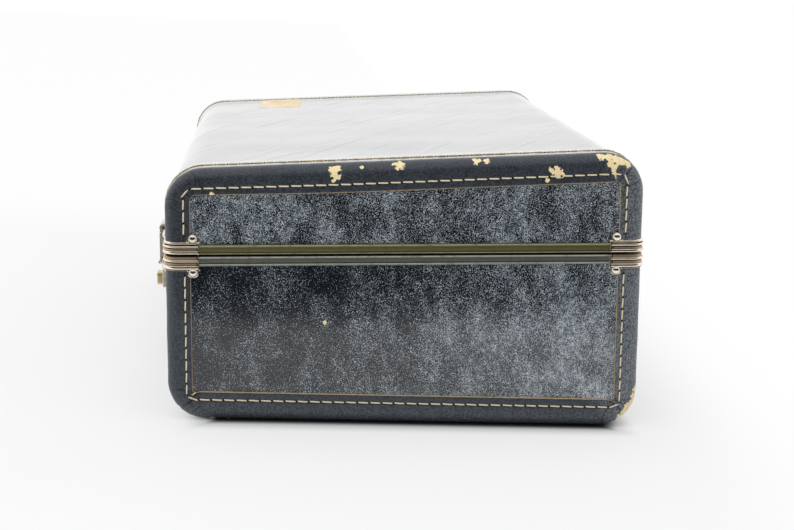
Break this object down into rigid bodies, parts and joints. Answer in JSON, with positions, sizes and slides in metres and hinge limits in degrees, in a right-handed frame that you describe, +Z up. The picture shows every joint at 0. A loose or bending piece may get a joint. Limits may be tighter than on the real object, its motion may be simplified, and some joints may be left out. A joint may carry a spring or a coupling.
{
  "type": "suitcase",
  "caption": "Hard weekend case lying flat: hinged lid over a deeper base, leather-bound ends, metal seam rails, ribbed corner clips, snap latches and a front carrying handle.",
  "frame": {"origin": "on the ground, under the middle of the closed case's footprint", "axes": "+X along the case to its right-hand end, +Y from the handle side to the hinge side, +Z up; the case lies flat on its bottom"},
  "size_m": [0.5386, 0.3666, 0.2025],
  "materials": {
    "plywood": "raw plywood",
    "tweed": "glossy coated tweed cloth, near-black blue with pale flecks",
    "leathercloth": "glossy coated leathercloth, dark blue",
    "band_leather": "smooth dark blue leather, worn to tan at its edges",
    "satin": "blue-grey rayon satin",
    "cotton": "cream waxed cotton thread and webbing",
    "old_brass": "tarnished brass",
    "dull_alloy": "dull grey alloy",
    "nickel": "nickel plate",
    "button_brass": "lacquered brass",
    "steel": "plain steel"
  },
  "bodies": {
    "base": {"base_bottom_board": "plywood", "base_front_board": "plywood", "base_back_board": "plywood", "base_right_board": "plywood", "base_left_board": "plywood", "base_right_panel": "tweed", "base_left_panel": "tweed", "base_wrap": "leathercloth", "base_right_band": "band_leather", "base_left_band": "band_leather", "base_lining": "satin", "base_corner_clips": "nickel", "base_clip_nails": "nickel", "base_rivets": "nickel", "base_feet": "nickel", "base_hinge_leaves": "nickel", "base_rail": "dull_alloy", "handle_brackets": "nickel", "hinge_pins": "steel", "packing_straps": "cotton", "strap_buckles": "nickel", "right_latch_case": "nickel", "right_latch_spring": "steel", "left_latch_case": "nickel", "left_latch_spring": "steel"},
    "lid": {"lid_top_board": "plywood", "lid_front_board": "plywood", "lid_back_board": "plywood", "lid_right_board": "plywood", "lid_left_board": "plywood", "lid_right_panel": "tweed", "lid_left_panel": "tweed", "lid_wrap": "leathercloth", "lid_right_band": "band_leather", "lid_left_band": "band_leather", "lid_lining": "satin", "lid_corner_clips": "nickel", "lid_clip_nails": "nickel", "lid_rivets": "nickel", "lid_feet": "nickel", "lid_hinge_leaves": "nickel", "lid_rail": "old_brass", "lid_pocket": "satin", "pocket_elastic": "satin", "right_latch_plate": "nickel", "right_latch_pin": "steel", "left_latch_plate": "nickel", "left_latch_pin": "steel"},
    "right_hasp": {"right_latch_hasp": "nickel", "right_latch_staple": "steel"},
    "left_hasp": {"left_latch_hasp": "nickel", "left_latch_staple": "steel"},
    "right_button": {"right_latch_button": "button_brass", "right_latch_bolt": "steel"},
    "left_button": {"left_latch_button": "button_brass", "left_latch_bolt": "steel"},
    "handle": {"handle_grip": "band_leather", "handle_caps": "nickel", "handle_links": "nickel"}
  },
  "joints": [
    {"name": "lid_hinge", "type": "hinge", "parent": "base", "child": "lid", "pos_m": [0, 0.1765, 0.13155], "axis": [-1, 0, 0], "range_deg": [0, 100]},
    {"name": "handle_swing", "type": "hinge", "parent": "base", "child": "handle", "pos_m": [0, -0.1776, 0.10419], "axis": [-1, 0, 0], "range_deg": [0, 175]},
    {"name": "right_hasp_hinge", "type": "hinge", "parent": "lid", "child": "right_hasp", "pos_m": [0.2125, -0.17414, 0.13332], "axis": [-1, 0, 0], "range_deg": [0, 110]},
    {"name": "right_button_slide", "type": "slide", "parent": "base", "child": "right_button", "axis": [1, 0, 0], "range_m": [0, 0.005], "stiffness_N_per_m": 250, "springref_m": -0.004, "deforming": ["right_latch_spring"]},
    {"name": "left_hasp_hinge", "type": "hinge", "parent": "lid", "child": "left_hasp", "pos_m": [-0.2125, -0.17414, 0.13332], "axis": [-1, 0, 0], "range_deg": [0, 110]},
    {"name": "left_button_slide", "type": "slide", "parent": "base", "child": "left_button", "axis": [-1, 0, 0], "range_m": [0, 0.005], "stiffness_N_per_m": 250, "springref_m": -0.004, "deforming": ["left_latch_spring"]}
  ]
}
